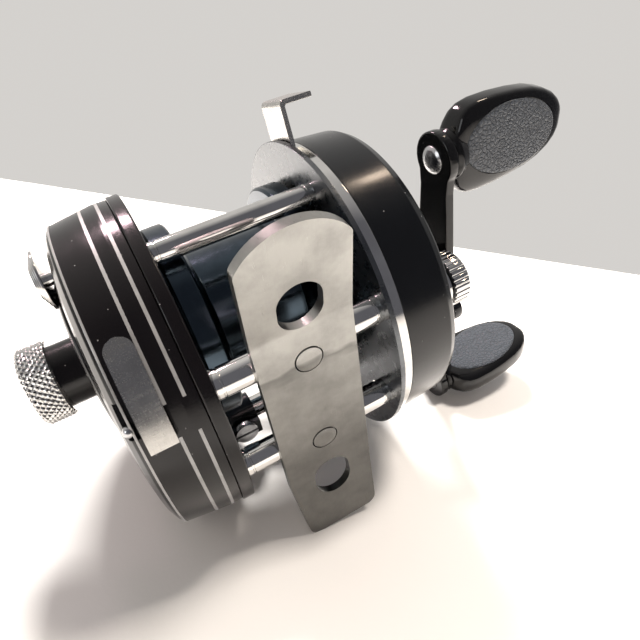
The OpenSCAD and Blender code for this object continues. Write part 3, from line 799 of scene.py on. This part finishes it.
def paddles():
    """Both paddles: the upper with its flat along Y, the lower with its flat level."""
    up = REEL.inverted().to_3x3() @ Vector((0, 0, 1))
    flat = math.atan2(-up.y, up.z)
    for which, turn in (("upper", 0.0), ("lower", flat)):
        cy, cz = axis_of(which + "_paddle_spin")
        place = Matrix.Translation((0, cy, cz)) @ Matrix.Rotation(turn, 4, "X")
        body, pads = paddle_body(), pad_pair()
        for bm in (body, pads):
            bmesh.ops.transform(bm, matrix=place, verts=bm.verts)
        piece(which + "_grip", body, "paddle_" + which, "black_plastic", ["paddle_" + which], sharp=42)
        piece(which + "_grip_pads", pads, "paddle_" + which, "pad_leather", ["pads_" + which], sharp=50)


# ---- pillars and foot ----

def pillars():
    """The three bright bars between the plates, each with a fine groove near both ends."""
    chamfer_x, groove = GAP_HALF - 0.2, 0.12
    for node, centre, radius in (("rear_pillar", (-20.6, -4.2), 1.65),
                                 ("foot_pillar_rear", (RIVET_PLACES[0], -20.5), 2.1),
                                 ("foot_pillar_front", (RIVET_PLACES[1], -20.9), 2.1)):
        profile = [(0, -GAP_HALF), (radius - 0.05, -GAP_HALF), (radius, -chamfer_x)]
        for x in (-11.5, 11.1):
            profile += [(radius, x), (radius - groove, x + 0.08), (radius - groove, x + 0.3),
                        (radius, x + 0.38)]
        profile += [(radius, chamfer_x), (radius - 0.05, GAP_HALF), (0, GAP_HALF)]
        piece(node + "_bar", lathe(profile, centre, 64), "frame", "chrome", [node])


def bend(bm, line, side, angle, radius):
    """Bends the foot's sheet past y = line towards -Z, by angle; radius is that of its outer face."""
    pivot_z = FOOT_OUT - radius
    arc = (radius + (FOOT_IN - FOOT_OUT) / 2) * angle
    for vert in bm.verts:
        past = side * (vert.co.y - line)
        if past <= 0:
            continue
        turn = angle * min(past / arc, 1.0)
        rest = max(past - arc, 0.0)
        reach = vert.co.z - pivot_z
        y = reach * math.sin(turn) + rest * math.cos(turn)
        z = pivot_z + reach * math.cos(turn) - rest * math.sin(turn)
        vert.co.y = line + side * y
        vert.co.z = z


def foot():
    """The rod foot: a stamped strip, bent at both ends, with two slots and two riveted holes."""
    rear, front, arc_r, front_taper = -31.2, 28.2, 8.6, 0.9
    limit = math.asin(FOOT_HALF / arc_r)
    centre = rear + arc_r
    turns = [limit * i / 10 for i in range(-10, 11)]
    outline = [(arc_r * math.sin(a), centre - arc_r * math.cos(a)) for a in turns]
    corner = [0.0] * len(outline)
    corner[0] = corner[-1] = 1.6
    outline += [(FOOT_HALF, FRONT_BEND), (FOOT_HALF - front_taper, front), (front_taper - FOOT_HALF, front),
                (-FOOT_HALF, FRONT_BEND)]
    corner += [2.0, 1.9, 1.9, 2.0]
    sheet = slab(rounded(outline, corner, 6), FOOT_OUT, FOOT_IN, "Z")
    slot_r, slot_half, around = 3.1, 0.7, 48
    for y in (-18.9, 17.1):
        slot = []
        for i in range(around):
            a = 2 * math.pi * i / around
            end = slot_half if math.sin(a) > 0 else -slot_half
            slot.append((slot_r * math.cos(a), y + slot_r * math.sin(a) + end))
        sheet = cut(sheet, slab(slot, -30, -20, "Z"))
    for y in RIVET_PLACES:
        sheet = cut(sheet, rod((0, y, -30), (0, y, -20), 2.1, 48))
    bmesh.ops.triangulate(sheet, faces=sheet.faces)
    # cuts across the sheet, so that it can bend round
    spacing = 0.35
    for line in [FRONT_BEND + spacing * k for k in range(4)] + [REAR_BEND - spacing * k for k in range(4)]:
        geom = list(sheet.verts) + list(sheet.edges) + list(sheet.faces)
        bmesh.ops.bisect_plane(sheet, geom=geom, plane_co=(0, line, 0), plane_no=(0, 1, 0))
    bevel(sheet, 0.22, 3, 40)
    bend(sheet, FRONT_BEND, 1, FOOT_BEND, 5.0)
    bend(sheet, REAR_BEND, -1, FOOT_BEND, 5.0)
    # its foot_steel colour darkens towards the front end as painted shade
    piece("foot_strip", sheet, "frame", "foot_steel", ["foot"], sharp=40)
    heads = []
    dome = rounded([(0, 0.24), (1.2, 0.2), (1.92, 0.08), (1.92, -1.0), (0, -1.0)], [0, 1, 0.1, 0, 0], 4)
    outward = Matrix.Rotation(math.radians(90), 3, "Y")
    for y in RIVET_PLACES:
        head = lathe(dome, steps=48)
        bmesh.ops.rotate(head, cent=(0, 0, 0), matrix=outward, verts=head.verts)
        bmesh.ops.translate(head, vec=(0, y, FOOT_OUT), verts=head.verts)
        heads.append(head)
    piece("foot_rivet_heads", join(*heads), "frame", "foot_steel", ["foot_rivets"])


# ---- what is kept from the CAD model ----

CAD_MATERIAL = {"frame_right_plate": "dark_plate", "spool": "spool_black"}


def dress_cad_nodes():
    """Every CAD node gets its material and softened edges."""
    for node, obj in frame["nodes"].items():
        obj.data.materials.clear()
        obj.data.materials.append(MATERIALS[CAD_MATERIAL.get(node, SLOTS[node])])
        weld = obj.modifiers.new("weld", "WELD")
        weld.merge_threshold = 1e-6
        flat = obj.modifiers.new("flat", "DECIMATE")
        flat.decimate_type = "DISSOLVE"
        flat.angle_limit = math.radians(0.3)
        soft = obj.modifiers.new("soft", "BEVEL")
        soft.width = 0.1 * MM
        soft.segments = 2
        soft.limit_method = "ANGLE"
        soft.angle_limit = math.radians(38)
        even = obj.modifiers.new("even", "WEIGHTED_NORMAL")
        even.keep_sharp = True


add_camera()
add_world()
add_floor()
add_light("key", (0.10, 0.40, 0.52), REEL_MIDDLE, 8.5, 0.16, 0.12, (1.0, 0.95, 0.90))
add_light("overhead", (0.24, -0.04, 0.62), REEL_MIDDLE, 4.0, 0.1, 0.14, (1.0, 0.90, 0.80))
add_light("fill", (-0.5, -0.6, 0.7), (0, 0, 0), 3.0, 0.9, 0.9, (1.0, 0.84, 0.70))
add_card("lamp_seen_right", 20, 66, 0.9, 0.07, 0.10, 34.0, (1.0, 0.80, 0.62))
add_card("lamp_seen_left", 105, 44, 0.9, 0.16, 0.14, 48.0, (1.0, 0.72, 0.78))
add_card("pale_window", 196, 24, 1.2, 0.5, 0.6, 2.4, (0.96, 0.98, 1.0))
scene.view_settings.view_transform = "Standard"
dress_cad_nodes()
left_drum()
left_plate()
left_knob()
clicker()
latch()
right_drum()
thumb_lever()
crank_arm()
paddles()
pillars()
foot()
